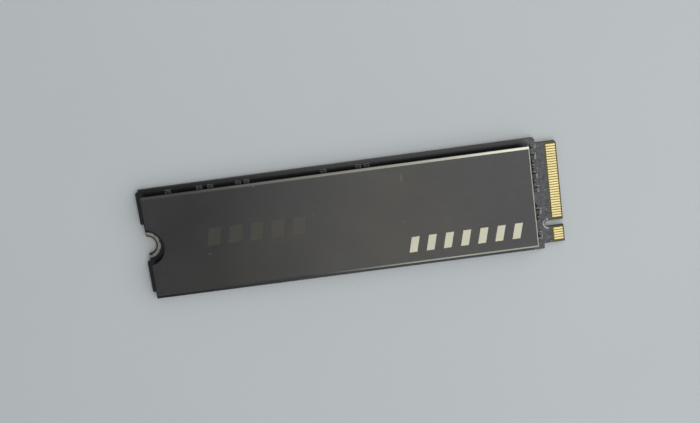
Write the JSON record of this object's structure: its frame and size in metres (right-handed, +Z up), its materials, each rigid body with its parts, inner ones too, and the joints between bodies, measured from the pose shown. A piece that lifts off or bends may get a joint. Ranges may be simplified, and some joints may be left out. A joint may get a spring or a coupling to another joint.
{
  "type": "nvme ssd",
  "caption": "Flat solid state drive module with an edge connector, a half-round fixing notch and a bonded dark metal heat spreader.",
  "frame": {"origin": "centre of the half-round fixing notch at the board's tail edge, on the board's underside", "axes": "+X along the module to the contact edge, +Y across it to the side away from the key slot, +Z up out of the heat spreader"},
  "size_m": [0.0806, 0.022, 0.0032],
  "materials": {
    "board": "dark solder mask over laminate",
    "gold": "polished gold plating",
    "notch_metal": "plated and solder-coated, worn",
    "spreader": "fine brushed, dark anodised, bright bevels",
    "pad": "matt",
    "pale_print": "pale metallic ink",
    "dark_print": "clear gloss ink, tone on tone",
    "substrate": "solder mask",
    "solder": "bright",
    "mould": "fine matt moulding",
    "tin": "satin tin",
    "ferrite": "matt grey",
    "capacitor": "matt brown",
    "resistor": "gloss black",
    "crystal_ceramic": "matt",
    "crystal_metal": "satin",
    "board_ink": "white print",
    "label": "smooth blank label"
  },
  "bodies": {
    "root": {"board_print": "board_ink", "boot_flash": "mould", "boot_flash_pads": "tin", "bottom_contacts": "gold", "bulk_capacitor_ends": "tin", "bulk_capacitors": "capacitor", "circuit_board": "board", "controller_package": "mould", "controller_solder_balls": "solder", "controller_substrate": "substrate", "coupling_capacitor_ends": "tin", "coupling_capacitors": "capacitor", "crystal_base": "crystal_ceramic", "crystal_lid": "crystal_metal", "dark_bars": "dark_print", "fiducials": "tin", "heat_spreader": "spreader", "inductor_ends": "tin", "inductors": "ferrite", "load_switch": "mould", "load_switch_leads": "tin", "nand_package_1": "mould", "nand_package_2": "mould", "nand_package_3": "mould", "nand_package_4": "mould", "nand_solder_balls": "solder", "nand_substrates": "substrate", "notch_lands": "notch_metal", "pale_bars": "pale_print", "power_chip": "mould", "power_chip_pads": "tin", "rear_label": "label", "resistor_ends": "tin", "resistors": "resistor", "small_capacitor_ends": "tin", "small_capacitors": "capacitor", "test_pads": "gold", "thermal_pad": "pad", "top_contacts": "gold"}
  },
  "joints": []
}
